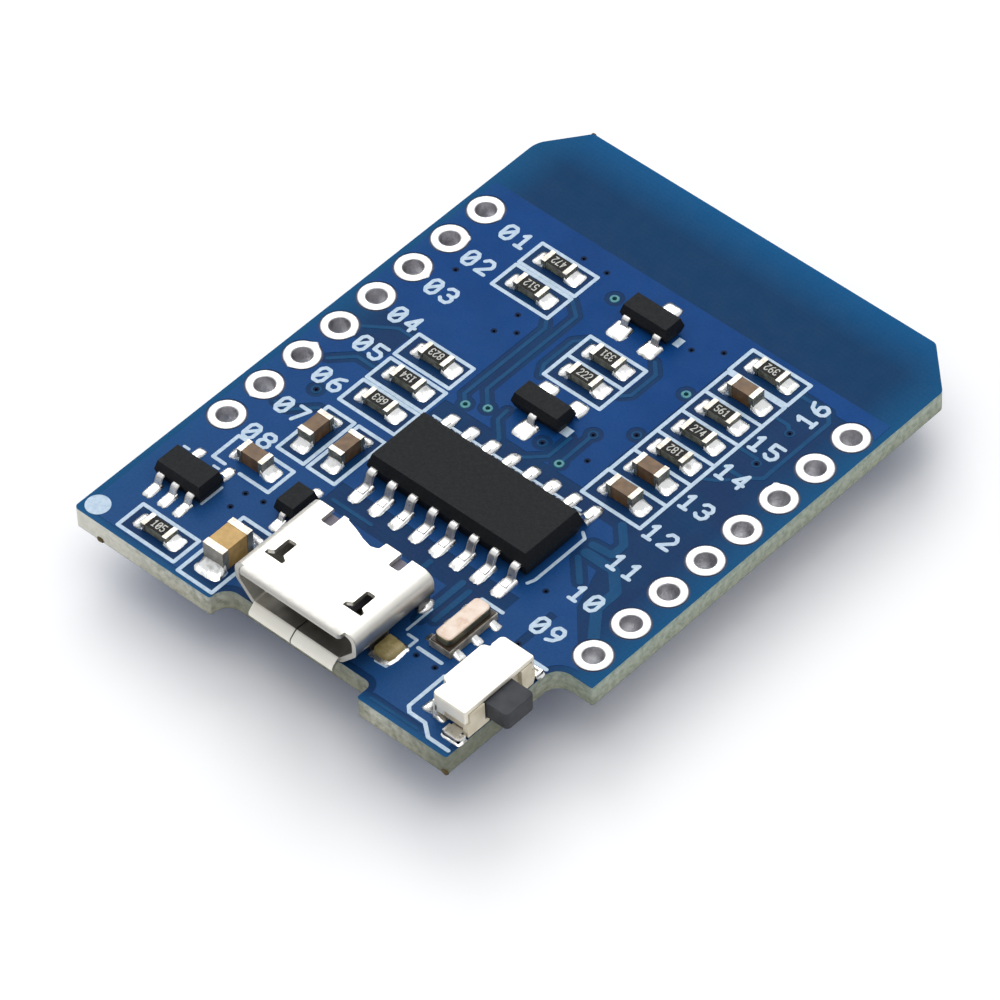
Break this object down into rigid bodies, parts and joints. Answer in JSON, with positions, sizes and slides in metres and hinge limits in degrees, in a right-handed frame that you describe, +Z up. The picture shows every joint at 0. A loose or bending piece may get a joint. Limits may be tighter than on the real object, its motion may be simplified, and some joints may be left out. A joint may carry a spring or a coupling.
{
  "type": "microcontroller dev board",
  "caption": "Small blue microcontroller board with a micro-B USB socket, a side-pressed reset button, plated header holes along both long edges and a shielded radio module underneath.",
  "frame": {"origin": "on the resting surface under the centre of the board, which is the plane of the radio module's shield lid", "axes": "+X across the board towards the reset button's side, +Y along the board from the USB socket to the antenna end, +Z up out of the component side"},
  "size_m": [0.0254, 0.0338, 0.007],
  "materials": {
    "board_blue": "blue solder mask over glass fibre",
    "socket_steel": "bright nickel-plated sheet steel",
    "socket_plastic": "dark grey moulded plastic",
    "contact_gold": "gold-plated copper alloy",
    "chip_black": "black moulding compound with tinned leads",
    "resistor_ceramic": "black glaze on ceramic with tinned ends",
    "capacitor_brown": "brown ceramic with tinned ends",
    "capacitor_tan": "tan ceramic with tinned ends",
    "resonator_base": "grey-brown ceramic with metal bands",
    "resonator_lid": "pale pinkish ceramic",
    "switch_steel": "bright steel",
    "switch_ivory": "ivory plastic",
    "button_black": "dark grey plastic",
    "module_blue": "dark blue solder mask",
    "can_steel": "drawn nickel silver",
    "crystal_steel": "metal lid",
    "led_white": "clear lens on a white base"
  },
  "bodies": {
    "board_assembly": {"circuit_board": "board_blue", "usb_shell": "socket_steel", "usb_insulator": "socket_plastic", "usb_contact_1": "contact_gold", "usb_contact_2": "contact_gold", "usb_contact_3": "contact_gold", "usb_contact_4": "contact_gold", "usb_contact_5": "contact_gold", "usb_serial_chip": "chip_black", "voltage_regulator": "chip_black", "transistor_1": "chip_black", "transistor_2": "chip_black", "input_diode": "chip_black", "resistor_01": "resistor_ceramic", "resistor_02": "resistor_ceramic", "resistor_03": "resistor_ceramic", "resistor_04": "resistor_ceramic", "resistor_05": "resistor_ceramic", "resistor_06": "resistor_ceramic", "resistor_07": "resistor_ceramic", "resistor_08": "resistor_ceramic", "resistor_09": "resistor_ceramic", "resistor_10": "resistor_ceramic", "resistor_11": "resistor_ceramic", "resistor_12": "resistor_ceramic", "capacitor_1": "capacitor_brown", "capacitor_2": "capacitor_brown", "capacitor_3": "capacitor_brown", "capacitor_4": "capacitor_brown", "capacitor_5": "capacitor_brown", "capacitor_6": "capacitor_brown", "bulk_capacitor": "capacitor_tan", "resonator_base": "resonator_base", "resonator_lid": "resonator_lid", "switch_cover": "switch_steel", "switch_spring_leaf": "switch_steel", "switch_terminal_front": "switch_steel", "switch_terminal_rear": "switch_steel", "switch_housing": "switch_ivory", "module_board": "module_blue", "module_shield": "can_steel", "module_processor": "chip_black", "module_flash_chip": "chip_black", "module_crystal": "crystal_steel", "module_capacitor_1": "capacitor_brown", "module_capacitor_2": "capacitor_brown", "module_resistor": "resistor_ceramic", "module_led_resistor": "resistor_ceramic", "module_status_led": "led_white"},
    "reset_button": {"switch_button": "button_black"}
  },
  "joints": [
    {"name": "reset_press", "type": "slide", "parent": "board_assembly", "child": "reset_button", "axis": [-1, 0, 0], "range_m": [0, 0.00025], "stiffness_N_per_m": 6400, "deforming": ["switch_spring_leaf"]}
  ]
}
